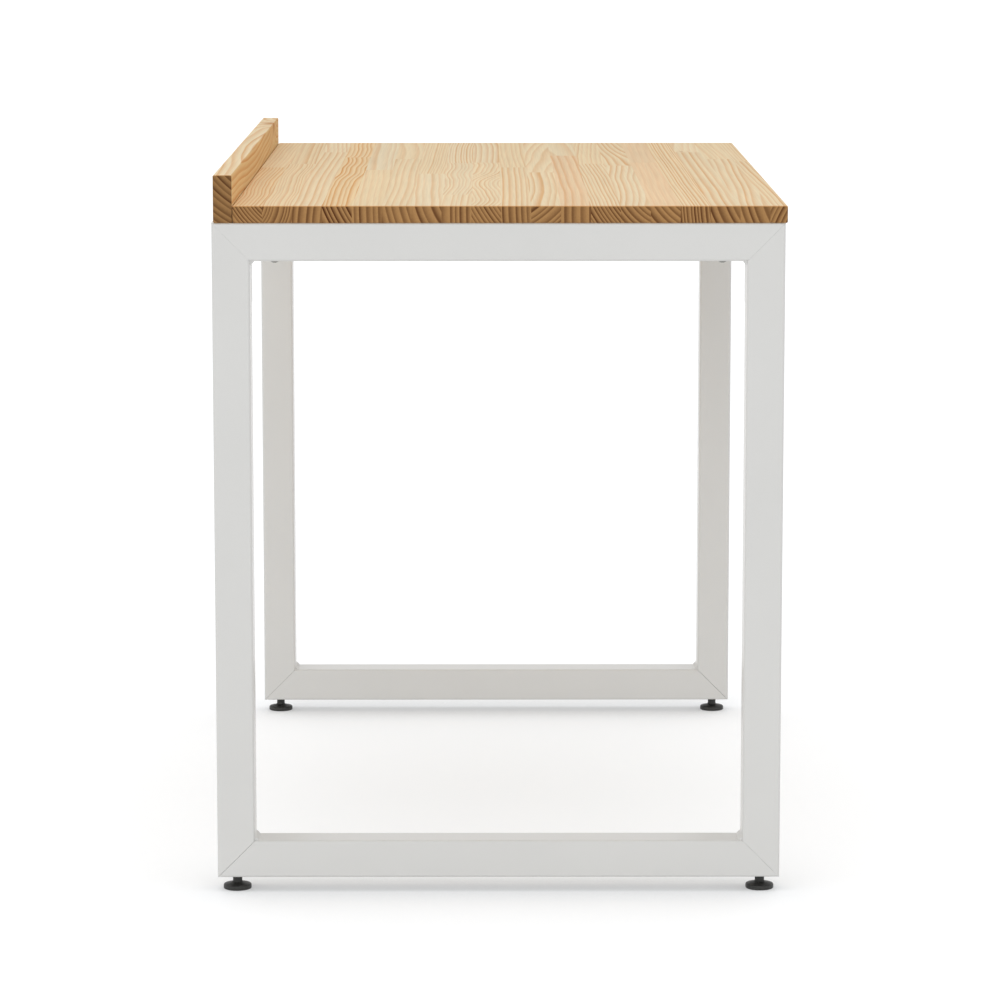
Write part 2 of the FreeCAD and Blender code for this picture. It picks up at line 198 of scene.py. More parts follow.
# Each tube's axis (1 is Y, 2 is Z) and the corners at its lower and its higher end, then how much of
# the 0.2 mm that a tube is cut back at each mitre the ground weld fills: the more, the fainter the line.
tube_ends = {
    "top_rail": (1, ("front", "top"), ("rear", "top")),
    "bottom_rail": (1, ("front", "bottom"), ("rear", "bottom")),
    "front_leg": (2, ("front", "bottom"), ("front", "top")),
    "rear_leg": (2, ("rear", "bottom"), ("rear", "top"))}
mitre_fills = {
    "left": {("front", "top"): 0.14 * mm, ("rear", "top"): 0.17 * mm,
             ("front", "bottom"): 0.12 * mm, ("rear", "bottom"): 0.0},
    "right": {("front", "top"): 0.10 * mm, ("rear", "top"): 0.10 * mm,
              ("front", "bottom"): 0.0, ("rear", "bottom"): 0.07 * mm}}


def fill_mitres(piece, axis, low_fill, high_fill):
    """Lengthens a tube at each end by what the weld takes up of the gap at its mitre."""
    places = [corner.co[axis] for corner in piece.data.vertices]
    middle = (min(places) + max(places)) / 2
    half_length = (max(places) - min(places)) / 2
    for corner in piece.data.vertices:
        share = (corner.co[axis] - middle) / half_length
        corner.co[axis] += share * (high_fill if share > 0 else low_fill)


coat = powder_coat()
for side in ("left", "right"):
    for tube, (axis, low_corner, high_corner) in tube_ends.items():
        node = f"{side}_{tube}"
        tube_piece = smooth_copy(f"{node}_tube", node, coat)
        fill_mitres(tube_piece, axis, mitre_fills[side][low_corner], mitre_fills[side][high_corner])
        fit(tube_piece, "desk", "powder_coated_steel", node)


# Weld beads: the short fillet welds left in the inner corners of the end frames and under the long
# rails' ends. Each is laid as a row of overlapping puddles and coated over with the frame.

bead_leg = 4.5 * mm
bead_length = 34 * mm
bead_face_radius = 12 * mm
puddle_pitch = 2.1 * mm
puddle_dip = 0.28 * mm
bead_rings = 97
bead_face_steps = 8
bead_end_taper = 2.5 * mm
bead_end_size = 0.72
bead_end_growth = 0.28
bead_tilt = math.radians(45)


def bead_section(x):
    """The bead's outline at one place along it: the corner, then the round face between its legs."""
    half_chord = bead_leg / math.sqrt(2)
    half_angle = math.asin(half_chord / bead_face_radius)
    centre = bead_leg / 2 - bead_face_radius * math.cos(half_angle) / math.sqrt(2)
    to_end = min(x + bead_length / 2, bead_length / 2 - x)
    size = bead_end_size + bead_end_growth * math.sin(min(to_end / bead_end_taper, 1) * math.pi / 2)
    dip = puddle_dip * abs(math.sin(math.pi * x / puddle_pitch))
    outline = [(0, 0)]
    for step in range(bead_face_steps + 1):
        share = step / bead_face_steps
        angle = bead_tilt + half_angle * (2 * share - 1)
        reach = bead_face_radius - dip * math.sin(math.pi * share)
        outline.append((centre + reach * math.cos(angle), centre + reach * math.sin(angle)))
    return [(max(y, 0) * size, max(z, 0) * size) for y, z in outline]


def add_bead(shape, place):
    """One closed bead, added to the shape where its place matrix puts it."""
    rings = []
    for index in range(bead_rings):
        x = bead_length * (index / (bead_rings - 1) - 0.5)
        rings.append([shape.verts.new(place @ Vector((x, y, z))) for y, z in bead_section(x)])
    count = len(rings[0])
    for ring, following in zip(rings, rings[1:]):
        for index in range(count):
            after = (index + 1) % count
            shape.faces.new((ring[index], ring[after], following[after], following[index]))
    shape.faces.new(list(reversed(rings[0])))
    shape.faces.new(rings[-1])


def weld_piece(name, places, node):
    """All the beads of one node as one piece."""
    shape = bmesh.new()
    for place in places:
        add_bead(shape, place)
    bmesh.ops.recalc_face_normals(shape, faces=shape.faces)
    mesh = bpy.data.meshes.new(name)
    shape.to_mesh(mesh)
    shape.free()
    mesh.shade_smooth()
    mesh.set_sharp_from_angle(angle=crease)
    piece = add_piece(name, mesh, coat)
    fit(piece, "desk", "powder_coated_steel", node)


leg_x = (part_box("right_front_leg")[0].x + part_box("right_front_leg")[1].x) / 2
front_leg_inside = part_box("right_front_leg")[1].y
rear_leg_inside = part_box("right_rear_leg")[0].y
opening_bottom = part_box("right_bottom_rail")[1].z
rail_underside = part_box("front_rail")[0].z
inner_corners = (
    (front_leg_inside, opening_bottom, 0), (rear_leg_inside, opening_bottom, 90),
    (rear_leg_inside, rail_underside, 180), (front_leg_inside, rail_underside, 270))
for side, sign in (("left", -1), ("right", 1)):
    weld_piece(f"{side}_frame_weld_beads", [
        Matrix.Translation((leg_x * sign, y, z)) @ Matrix.Rotation(math.radians(turn), 4, "X")
        for y, z, turn in inner_corners], f"{side}_frame_welds")

plate_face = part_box("front_rail")[1].x
rail_middles = [(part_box(rail)[0].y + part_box(rail)[1].y) / 2 for rail in ("front_rail", "rear_rail")]
weld_piece("rail_weld_beads", [
    Matrix.Translation((plate_face * sign, y, rail_underside))
    @ Matrix.Rotation(math.radians(90 * sign), 4, "Z") @ Matrix.Rotation(math.radians(270), 4, "X")
    for sign in (-1, 1) for y in rail_middles], "rail_welds")


# Long rails: two lengths of the same tube between the end frames, hidden under the top, each with a
# flat plate welded on at both ends. They have the same white coat and bolt to the legs.

for rail in ("front_rail", "rear_rail"):
    fit(smooth_copy(f"{rail}_tube", rail, coat), "desk", "powder_coated_steel", rail)
    for side in ("left", "right"):
        node = f"{rail}_{side}_plate"
        fit(smooth_copy(f"{node}_steel", node, coat), "desk", "powder_coated_steel", node)


# Rail bolts: button-head screws with a hex socket, two through each end plate into a threaded insert
# in the leg. Screws and inserts are zinc-plated steel, dull grey.

bolt_head_radius = 5.25 * mm
bolt_head_height = 3.3 * mm
bolt_rim = 0.9 * mm
bolt_radius = 3 * mm
bolt_length = 16 * mm
bolt_tip = 0.8 * mm
bolt_socket = 4 * mm
bolt_socket_depth = 2 * mm
bolt_drops = (15 * mm, 40 * mm)
head_sides = 48
dome_rings = 72
shank_sides = 32
tip_bluntness = 0.15
roll_seed = 4
zinc_dark = paint(134, 134, 130)
zinc_pale = paint(160, 160, 155)
zinc_cloud_scale = 260.0
zinc_roughness = (0.26, 0.44)


def zinc_plate():
    """Zinc plating: a dull grey metal with soft cloudy gloss."""
    finish, tree, shader = new_finish("zinc_plate")
    place = add_node(tree, "ShaderNodeTexCoord").outputs["Object"]
    clouds = add_node(tree, "ShaderNodeTexNoise", {
        "Vector": place, "Scale": zinc_cloud_scale, "Detail": 4.0})
    plug(tree, shader, {
        "Base Color": mix_colours(tree, clouds.outputs[0], zinc_dark, zinc_pale),
        "Metallic": 1.0,
        "Roughness": stretch(tree, clouds.outputs[0], *zinc_roughness)})
    return finish


def calculate(tree, operation, *values):
    """One Math node on numbers or sockets, and its result."""
    return add_node(tree, "ShaderNodeMath", dict(enumerate(values)), operation=operation).outputs[0]


def upward(tree, height):
    """A vector that points along Z."""
    return add_node(tree, "ShaderNodeCombineXYZ", {"Z": height}).outputs[0]


def moved(tree, mesh, place):
    """A mesh moved by a vector."""
    return add_node(tree, "GeometryNodeTransform", {
        "Geometry": mesh, "Translation": place}).outputs[0]


def joined(tree, operation, *meshes, base=None):
    """The exact boolean of some meshes."""
    made = add_node(tree, "GeometryNodeMeshBoolean", operation=operation, solver="EXACT")
    if base is not None:
        tree.links.new(base, made.inputs["Mesh 1"])
    for mesh in meshes:
        tree.links.new(mesh, made.inputs["Mesh 2"])
    return made.outputs["Mesh"]


def new_shape_tree(name, sizes):
    """An empty Geometry Nodes tree with a named input for each size, and one for the finish."""
    tree = bpy.data.node_groups.new(name, "GeometryNodeTree")
    tree.is_modifier = True
    ways = tree.interface
    ways.new_socket(name="Geometry", in_out="INPUT", socket_type="NodeSocketGeometry")
    for size in sizes:
        ways.new_socket(name=size, in_out="INPUT", socket_type="NodeSocketFloat")
    ways.new_socket(name="Finish", in_out="INPUT", socket_type="NodeSocketMaterial")
    ways.new_socket(name="Geometry", in_out="OUTPUT", socket_type="NodeSocketGeometry")
    return tree, tree.nodes.new("NodeGroupInput").outputs


def close_tree(tree, mesh, finish):
    """Ends a tree in plain mesh with its finish."""
    real = add_node(tree, "GeometryNodeRealizeInstances", {"Geometry": mesh})
    coated = add_node(tree, "GeometryNodeSetMaterial", {
        "Geometry": real.outputs[0], "Material": finish})
    add_node(tree, "NodeGroupOutput", {"Geometry": coated.outputs[0]})


def hex_drive(tree, given):
    """The six-sided key socket that is cut from a bolt's head."""
    corner = calculate(tree, "DIVIDE", given["Drive Width"], math.sqrt(3))
    depth = calculate(tree, "MULTIPLY", given["Drive Depth"], 2)
    key = add_node(tree, "GeometryNodeMeshCylinder", {
        "Vertices": 6, "Radius": corner, "Depth": depth})
    return [moved(tree, key.outputs["Mesh"], upward(tree, given["Head Height"]))]


def screw_tree(name, add_drive):
    """A domed screw head with its drive, shank and tip, set on every point along its facing."""
    tree, given = new_shape_tree(name, (
        "Head Radius", "Head Height", "Dome Radius", "Shank Radius", "Shank Length", "Tip Length",
        "Drive Width", "Drive Depth"))
    half_head = calculate(tree, "MULTIPLY", given["Head Height"], 0.5)
    disc = add_node(tree, "GeometryNodeMeshCylinder", {
        "Vertices": head_sides, "Radius": given["Head Radius"], "Depth": given["Head Height"]})
    ball = add_node(tree, "GeometryNodeMeshUVSphere", {
        "Segments": head_sides, "Rings": dome_rings, "Radius": given["Dome Radius"]})
    ball_drop = calculate(tree, "SUBTRACT", given["Head Height"], given["Dome Radius"])
    head = joined(tree, "INTERSECT", moved(tree, disc.outputs["Mesh"], upward(tree, half_head)),
                  moved(tree, ball.outputs["Mesh"], upward(tree, ball_drop)))
    straight = calculate(tree, "SUBTRACT", given["Shank Length"], given["Tip Length"])
    rod_length = calculate(tree, "ADD", straight, half_head)
    rod_middle = calculate(tree, "MULTIPLY", calculate(tree, "SUBTRACT", half_head, straight), 0.5)
    rod = add_node(tree, "GeometryNodeMeshCylinder", {
        "Vertices": shank_sides, "Radius": given["Shank Radius"], "Depth": rod_length})
    shank = moved(tree, rod.outputs["Mesh"], upward(tree, rod_middle))
    blunt = calculate(tree, "MULTIPLY", given["Shank Radius"], tip_bluntness)
    cone = add_node(tree, "GeometryNodeMeshCone", {
        "Vertices": shank_sides, "Radius Top": given["Shank Radius"], "Radius Bottom": blunt,
        "Depth": given["Tip Length"]})
    low_end = calculate(tree, "MULTIPLY", given["Shank Length"], -1)
    tip = moved(tree, cone.outputs["Mesh"], upward(tree, low_end))
    whole = joined(tree, "UNION", head, shank, tip)
    screw = joined(tree, "DIFFERENCE", *add_drive(tree, given), base=whole)
    facing = add_node(tree, "GeometryNodeInputNamedAttribute", {"Name": "facing"},
                      data_type="FLOAT_VECTOR")
    aim = add_node(tree, "FunctionNodeAlignRotationToVector", {"Vector": facing.outputs[0]}, axis="Z")
    placed = add_node(tree, "GeometryNodeInstanceOnPoints", {
        "Points": given["Geometry"], "Instance": screw, "Rotation": aim.outputs[0]})
    roll = add_node(tree, "FunctionNodeRandomValue", {
        "Min": 0.0, "Max": 2 * math.pi, "Seed": roll_seed}, data_type="FLOAT")
    roll_value = next(end for end in roll.outputs if end.enabled)
    turned = add_node(tree, "GeometryNodeRotateInstances", {
        "Instances": placed.outputs[0], "Rotation": upward(tree, roll_value)})
    close_tree(tree, turned.outputs[0], given["Finish"])
    return tree


def dome_radius(head_radius, head_height, rim):
    """The radius of a dome that rises from the head's rim to its full height."""
    rise = head_height - rim
    return (head_radius ** 2 + rise ** 2) / (2 * rise)


def grow(piece, tree, sizes):
    """Runs a shape tree on a piece with the given sizes, and keeps the plain mesh."""
    growth = piece.modifiers.new(tree.name, "NODES")
    growth.node_group = tree
    for way in tree.interface.items_tree:
        if way.in_out == "INPUT" and way.name in sizes:
            growth[way.identifier] = sizes[way.name]
    settle(piece)
    piece.data.shade_smooth()
    piece.data.set_sharp_from_angle(angle=crease)


def screw_set(name, tree, spots, sizes, finish):
    """A set of like screws: each spot is the middle of the seat under its head, and its facing."""
    mesh = bpy.data.meshes.new(name)
    mesh.from_pydata([seat for seat, facing in spots], [], [])
    way = mesh.attributes.new("facing", "FLOAT_VECTOR", "POINT")
    way.data.foreach_set("vector", [value for seat, facing in spots for value in facing])
    piece = add_piece(name, mesh, finish)
    grow(piece, tree, {**sizes, "Finish": finish})
    return piece


zinc = zinc_plate()
bolt_tree = screw_tree("button_head_bolt", hex_drive)
bolt_spots = [
    ((plate_face * sign, y, rail_underside - drop), (-sign, 0, 0))
    for sign in (-1, 1) for y in rail_middles for drop in bolt_drops]
rail_bolts = screw_set("rail_bolt_set", bolt_tree, bolt_spots, {
    "Head Radius": bolt_head_radius, "Head Height": bolt_head_height,
    "Dome Radius": dome_radius(bolt_head_radius, bolt_head_height, bolt_rim),
    "Shank Radius": bolt_radius, "Shank Length": bolt_length, "Tip Length": bolt_tip,
    "Drive Width": bolt_socket, "Drive Depth": bolt_socket_depth}, zinc)
fit(rail_bolts, "desk", "zinc_plated_steel", "rail_bolts")
for node in ("rail_bolt_inserts", "foot_inserts"):
    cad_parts[node].material_slots[0].material = zinc


# Desk top: a solid pine panel, glued up from narrow staves that are butted end to end, planed flush,
# eased along its edges and finished with a clear matt lacquer. It lies on the frames and rails.

stave_width = 31.2 * mm
arris = 1.5 * mm
arris_steps = 4
seam_gap = 0.5 * mm
pine_seed = 11
shortest_block = 280 * mm
longest_block = 640 * mm

# Each stave's block at the left end, from the rear to the front edge: its length in millimetres, the
# rings' slope from upright in degrees, the distance to the pith and the ring width in millimetres,
# the rings' strength, the wood's tint (orange above nought, pink below), and the grain's sway in
# millimetres. The further blocks follow on some staves, with the pith's rise along the block at the end.
end_blocks = (
    (560, 40, 90, 3.4, 1.0, 0.35, 26), (620, -20, -45, 4.2, 0.8, 0.20, 20),
    (820, -5, 200, 7.6, 0.8, 0.12, 14), (730, 32, 120, 5.2, 1.3, 0.45, 34),
    (520, 2, 300, 7.0, 0.4, 0.25, 8), (700, 16, 150, 7.4, 0.8, 0.15, 9),
    (460, 22, 70, 8.0, 0.6, 0.05, 10), (150, 1, 260, 6.2, 0.6, 0.10, 6),
    (640, 36, 140, 4.2, 0.8, 0.10, 60), (560, 3, 200, 6.6, 0.9, 0.15, 8),
    (480, -48, -120, 5.4, 0.9, 0.12, 16), (760, 0, 300, 9.0, 0.8, -0.60, 14),
    (620, 34, 110, 3.6, 1.0, 0.10, 7), (590, 48, 60, 5.6, 0.9, 0.05, 12),
    (640, 46, 70, 6.0, 0.3, -0.70, 10), (880, 6, 160, 3.8, 1.2, 0.15, 6),
    (820, 26, 90, 7.8, 0.9, 0.10, 9), (700, 22, 110, 7.6, 0.9, 0.10, 10),
    (660, -26, 120, 5.0, 0.9, 0.15, 12))
further_blocks = {
    3: (280, 40, 90, 4.6, 1.1, 0.40, 40, 0.01), 7: (480, 30, 120, 4.0, 0.7, 0.05, 64, 0.01),
    13: (420, 66, 70, 4.6, 0.9, 0.12, 12, -0.05), 14: (400, 60, 120, 5.0, 0.3, -0.60, 8, 0.01)}
block_sway = (5, 16)
fine_sway_share = 0.16
largest_lean = 0.02

# A knot is its place and its reach. The staves without one have theirs far outside the desk.
no_knot = (9.0, 9.0, 9.0, 0.01)
pin_knot = (332 * mm, -228 * mm, 734 * mm, 5 * mm)
pin_knot_stave = 16

# What the blocks draw at random: all of them the first two, those that aren't listed the rest.
block_tones = (0.98, 1.02)
block_shifts = (0, 20)
random_slopes = (-75, 75)
random_reaches = (50, 200)
random_ring_widths = (3.2, 8.0)
random_strengths = (0.5, 1.0)
random_tints = (0.0, 0.25)

# The finish: how the grain waves, how a year's ring darkens from spring to autumn, the fibres' and
# streaks' stretch along the board, and the colours of the faces and of the end grain.
slow_wave = 2.6
quick_wave = 8.0
wave_stretch = (1.0, 0.35, 0.35)
knot_stretch = (0.45, 1.0, 1.0)
knot_pull = 3.2
heart_share = 0.8
heart_range = (0.68, 1.0)
uneven_scale = 0.45
unevenness = 0.9
ring_profile = ((0.25, 0.10), (0.52, 0.45), (0.76, 0.95), (0.88, 1.0), (0.96, 0.40))
year_vigour = (0.45, 1.0)
fibre_stretch = (9.0, 620.0, 620.0)
fibre_tones = (0.88, 1.12)
streak_stretch = (3.0, 60.0, 60.0)
streak_tones = (0.93, 1.07)
# Painted shade: how much darker the wood is made towards the right end, and over which stretch along it.
far_shade_tones = (1.0, 0.92)
far_shade_range = (-300 * mm, 500 * mm)
early_wood = paint(245, 227, 193)
late_wood = paint(222, 163, 95)
late_share = 0.86
knot_heart = paint(200, 143, 88)
orange_stain = (0.99, 0.79, 0.50, 1)
pink_stain = (0.98, 0.81, 0.70, 1)
end_early_wood = paint(176, 134, 86)
end_late_wood = paint(84, 47, 23)
least_end_strength = 0.85
end_ring_power = 0.65
# Painted highlight: the orange of the upper eased edges of the end grain, its share, and the facing over
# which it shows.
edge_highlight = paint(208, 145, 80)
edge_highlight_share = 0.8
edge_highlight_range = (0.03, 0.40)
upper_edge_range = (0.0, 0.30)
end_grain_starts = (0.10, 0.70)
end_grain_ends = (0.50, 0.96)
ring_relief = 0.05
grain_strength = 0.08
grain_height = 0.15 * mm
pine_roughness = (0.74, 0.64)


def pine_lacquer():
    """Pine cut from round logs: rings about each block's own pith, fibres, and darker end grain."""
    finish, tree, shader = new_finish("lacquered_pine")
    texture = add_node(tree, "ShaderNodeTexCoord")
    place = texture.outputs["Object"]
    spot = add_node(tree, "ShaderNodeSeparateXYZ", {0: place}).outputs

    def block_value(name):
        return add_node(tree, "ShaderNodeAttribute", attribute_name=name).outputs["Vector"]

    def parts(vector):
        return add_node(tree, "ShaderNodeSeparateXYZ", {0: vector}).outputs

    pith = parts(block_value("pith"))
    lean = parts(block_value("lean"))
    tone = parts(block_value("tone"))
    sway = parts(block_value("sway"))
    shift = block_value("shift")
    shift_parts = parts(shift)

    def wave(scale, width):
        """How far the grain wanders sideways along the block, as a vector."""
        along = add_node(tree, "ShaderNodeVectorMath", {
            0: place, 1: wave_stretch, 2: shift}, operation="MULTIPLY_ADD")
        swell = add_node(tree, "ShaderNodeTexNoise", {
            "Vector": along.outputs[0], "Scale": scale, "Detail": 0.0})
        centred = add_node(tree, "ShaderNodeVectorMath", {
            0: swell.outputs["Color"], 1: (0.5, 0.5, 0.5)}, operation="SUBTRACT")
        return add_node(tree, "ShaderNodeVectorMath", {
            0: centred.outputs[0], "Scale": width}, operation="SCALE").outputs[0]

    wander = add_node(tree, "ShaderNodeVectorMath", {
        0: wave(slow_wave, sway["X"]), 1: wave(quick_wave, sway["Y"])}, operation="ADD").outputs[0]
    wander_parts = parts(wander)
    along = calculate(tree, "SUBTRACT", spot["X"], lean["Z"])

    def from_pith(axis, centre, slope, drift):
        middle = calculate(tree, "MULTIPLY_ADD", along, slope, centre)
        return calculate(tree, "ADD", calculate(tree, "SUBTRACT", spot[axis], middle), drift)

    across = from_pith("Y", pith["X"], lean["X"], wander_parts["X"])
    above = from_pith("Z", pith["Y"], lean["Y"], wander_parts["Y"])
    radius = calculate(tree, "SQRT", calculate(
        tree, "MULTIPLY_ADD", across, across, calculate(tree, "MULTIPLY", above, above)))
    to_knot = add_node(tree, "ShaderNodeVectorMath", {0: place, 1: block_value("knot")},
                       operation="SUBTRACT")
    round_knot = add_node(tree, "ShaderNodeVectorMath", {0: to_knot.outputs[0], 1: knot_stretch},
                          operation="MULTIPLY")
    knot_reach = calculate(tree, "DIVIDE", add_node(tree, "ShaderNodeVectorMath", {
        0: round_knot.outputs[0]}, operation="LENGTH").outputs["Value"], sway["Z"])
    knot = calculate(tree, "EXPONENT", calculate(
        tree, "MULTIPLY", calculate(tree, "MULTIPLY", knot_reach, knot_reach), -1))
    heart = stretch(tree, knot, 0.0, heart_share, *heart_range)
    years = calculate(tree, "ADD", calculate(tree, "DIVIDE", radius, pith["Z"]), calculate(
        tree, "MULTIPLY_ADD", knot, knot_pull, shift_parts["X"]))
    uneven = add_node(tree, "ShaderNodeTexNoise", {
        "W": calculate(tree, "ADD", years, shift_parts["Y"]), "Scale": uneven_scale, "Detail": 0.0},
        noise_dimensions="1D")
    count = calculate(tree, "MULTIPLY_ADD", uneven.outputs[0], unevenness, years)
    ring = add_node(tree, "ShaderNodeValToRGB", {0: calculate(tree, "FRACT", count)})
    ramp = ring.color_ramp.elements
    ramp[0].position, ramp[0].color = 0.0, (0, 0, 0, 1)
    ramp[1].position, ramp[1].color = 1.0, (0, 0, 0, 1)
    for position, level in ring_profile:
        ramp.new(position).color = (level, level, level, 1)
    this_year = add_node(tree, "ShaderNodeTexWhiteNoise", {
        "W": calculate(tree, "FLOOR", count)}, noise_dimensions="1D")
    vigour = stretch(tree, this_year.outputs["Value"], *year_vigour)
    band = calculate(tree, "MULTIPLY", ring.outputs[0], vigour)
    late = calculate(tree, "MULTIPLY", band, tone["Z"])

    drawn_out = add_node(tree, "ShaderNodeVectorMath", {0: place, 1: fibre_stretch},
                         operation="MULTIPLY")
    fibre = add_node(tree, "ShaderNodeTexNoise", {
        "Vector": drawn_out.outputs[0], "Scale": 1.0, "Detail": 3.0}).outputs[0]
    streaked = add_node(tree, "ShaderNodeVectorMath", {0: place, 1: streak_stretch},
                        operation="MULTIPLY")
    streak = add_node(tree, "ShaderNodeTexNoise", {
        "Vector": streaked.outputs[0], "Scale": 1.0, "Detail": 2.0}).outputs[0]

    # End grain shows on the faces that look along the board. On an upper edge it starts later, and an
    # orange line is painted on the eased arris there: a painted highlight where the light catches the
    # edge.
    facing = parts(texture.outputs["Normal"])
    end_facing = calculate(tree, "ABSOLUTE", facing["X"])
    upper_edge = stretch(tree, facing["Z"], 0.0, 1.0, *upper_edge_range)
    end_grain = stretch(tree, end_facing, 0.0, 1.0, stretch(tree, upper_edge, *end_grain_starts),
                        stretch(tree, upper_edge, *end_grain_ends))
    lit_edge = stretch(tree, end_facing, 0.0, edge_highlight_share, *edge_highlight_range)
    painted_edge_highlight = calculate(tree, "MULTIPLY", lit_edge, upper_edge)
    face_late = calculate(tree, "MULTIPLY", late, late_share)
    clear_face = mix_colours(tree, face_late, early_wood, late_wood)
    knotted = mix_colours(tree, heart, clear_face, knot_heart)
    orange = mix_colours(tree, calculate(tree, "MAXIMUM", tone["Y"], 0), knotted,
                         orange_stain, "MULTIPLY")
    pink = calculate(tree, "MAXIMUM", calculate(tree, "MULTIPLY", tone["Y"], -1), 0)
    face_colour = mix_colours(tree, pink, orange, pink_stain, "MULTIPLY")
    end_strength = calculate(tree, "MAXIMUM", tone["Z"], least_end_strength)
    end_late = calculate(tree, "POWER", calculate(tree, "MULTIPLY", band, end_strength), end_ring_power)
    end_colour = mix_colours(tree, end_late, end_early_wood, end_late_wood)
    # The painted highlight is laid on the upper eased edges.
    eased = mix_colours(tree, painted_edge_highlight, face_colour, edge_highlight)
    colour = mix_colours(tree, end_grain, eased, end_colour)
    fleck = calculate(tree, "MULTIPLY", stretch(tree, fibre, *fibre_tones),
                      stretch(tree, streak, *streak_tones))
    # Painted shade: the wood is made a little darker towards the right end, as if less light reached it
    # there.
    painted_far_shade = stretch(tree, spot["X"], *far_shade_tones, *far_shade_range)
    lightness = calculate(tree, "MULTIPLY", tone["X"], calculate(tree, "MULTIPLY", fleck, painted_far_shade))
    toned = add_node(tree, "ShaderNodeHueSaturation", {"Value": lightness, "Color": colour})
    height = calculate(tree, "MULTIPLY_ADD", late, ring_relief, fibre)
    relief = add_node(tree, "ShaderNodeBump", {
        "Height": height, "Strength": grain_strength, "Distance": grain_height})
    plug(tree, shader, {
        "Base Color": toned.outputs[0],
        "Roughness": stretch(tree, late, *pine_roughness),
        "Specular IOR Level": 0.08,
        "Normal": relief.outputs[0]})
    return finish


def board_shape(low, high):
    """A board between two corners, with every edge eased."""
    shape = bmesh.new()
    bmesh.ops.create_cube(shape, size=1)
    for vert in shape.verts:
        vert.co = [a if share < 0 else b for share, a, b in zip(vert.co, low, high)]
    bmesh.ops.bevel(shape, geom=shape.edges, offset=arris, segments=arris_steps, profile=0.5,
                    affect="EDGES")
    return shape


def cut_across(shape, faces, place, direction):
    """Cuts some faces of a shape with a plane, and leaves the shape closed."""
    edges = {edge for face in faces for edge in face.edges}
    verts = {vert for face in faces for vert in face.verts}
    bmesh.ops.bisect_plane(shape, geom=[*faces, *edges, *verts], plane_co=place, plane_no=direction,
                           dist=merge_distance)


grain_names = ("pith", "lean", "tone", "sway", "shift", "knot")


def stamp(shape, faces, block):
    """Writes a block's grain on its faces."""
    layers = {name: shape.faces.layers.float_vector[name] for name in grain_names}
    for face in faces:
        for name, layer in layers.items():
            face[layer] = block[name]


def grain_block(chance, centre, start, slope, reach, ring_width, strength, tint, sway, rise=None,
                knot=no_knot):
    """The grain of one block: where its pith lies from its centre, how it leans, and its tones."""
    angle = math.radians(slope)
    return {
        "pith": (centre[0] - reach * mm * math.cos(angle), centre[1] + reach * mm * math.sin(angle),
                 ring_width * mm),
        "lean": (chance.uniform(-largest_lean, largest_lean),
                 chance.uniform(-largest_lean, largest_lean) if rise is None else rise, start),
        "tone": (chance.uniform(*block_tones), tint, strength),
        "sway": (sway * mm, sway * fine_sway_share * mm, knot[3]),
        "shift": [chance.uniform(*block_shifts) for axis in range(3)],
        "knot": knot[:3]}


def random_block(chance, centre, start, knot):
    """A block with grain like its neighbours', but of its own tree."""
    slope = chance.uniform(*random_slopes)
    reach = chance.choice((-1, 1)) * chance.uniform(*random_reaches)
    return grain_block(
        chance, centre, start, slope, reach, chance.uniform(*random_ring_widths),
        chance.uniform(*random_strengths), chance.uniform(*random_tints),
        chance.uniform(*block_sway), knot=knot)


def add_layers(shape):
    """The named values that a board's faces hold for its finish."""
    for name in grain_names:
        shape.faces.layers.float_vector.new(name)


def board_piece(name, shape, finish, node):
    """A finished board, in place of its node."""
    mesh = bpy.data.meshes.new(name)
    shape.to_mesh(mesh)
    shape.free()
    piece = add_piece(name, mesh, finish)
    shade_rounds(piece)
    fit(piece, "desk", "pine", node)


pine = pine_lacquer()
chance = random.Random(pine_seed)
top_low, top_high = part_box("tabletop")
seam_y = top_high.y
top_shape = board_shape(top_low, top_high - Vector((0, seam_gap / 2, 0)))
add_layers(top_shape)
top_middle = (top_low.z + top_high.z) / 2
for number, end_block in enumerate(end_blocks):
    rear_y = seam_y - stave_width * number
    front_y = rear_y - stave_width
    if front_y > top_low.y + arris:
        cut_across(top_shape, list(top_shape.faces), (0, front_y, 0), (0, 1, 0))
    centre = (rear_y - stave_width / 2, top_middle)
    start = top_low.x
    end = start + end_block[0] * mm
    block = grain_block(chance, centre, start, *end_block[1:])
    following = further_blocks.get(number)
    knot = pin_knot if number == pin_knot_stave else no_knot
    while start < top_high.x:
        if end > top_high.x - shortest_block / 2:
            end = top_high.x
        in_stave = [face for face in top_shape.faces
                    if front_y < face.calc_center_median().y < rear_y]
        if end < top_high.x:
            cut_across(top_shape, in_stave, (end, 0, 0), (1, 0, 0))
        in_block = [face for face in top_shape.faces
                    if front_y < face.calc_center_median().y < rear_y
                    and start <= face.calc_center_median().x <= end]
        stamp(top_shape, in_block, block)
        start = end
        if following:
            end = start + following[0] * mm
            block = grain_block(chance, centre, start, *following[1:])
            following = None
        else:
            end = start + chance.uniform(shortest_block, longest_block)
            block = random_block(chance, centre, start, knot)
board_piece("pine_top", top_shape, pine, "tabletop")


# Upstand: one pine board on edge along the rear of the top, which stops things rolling off. It is
# glued and dowelled to the top's rear edge and screwed up through the rear rail.

# Lightness, tint and ring strength of the inner face and of the ends, then the board's own grain in
# the order of the top's blocks, from the slope on.
# Painted shade: the inner face is made darker than the rest of the board, for the shade it lies in beside
# the top.
shaded_inner_tone = (0.88, 0.85, 1.0)
end_tone = (0.78, 0.1, 0.85)
upstand_block = (52, 110, 6.0, 0.85, 0.1, 14)
upstand_knot = (380 * mm, 283 * mm, 764 * mm, 22 * mm)
turned_enough = 0.5

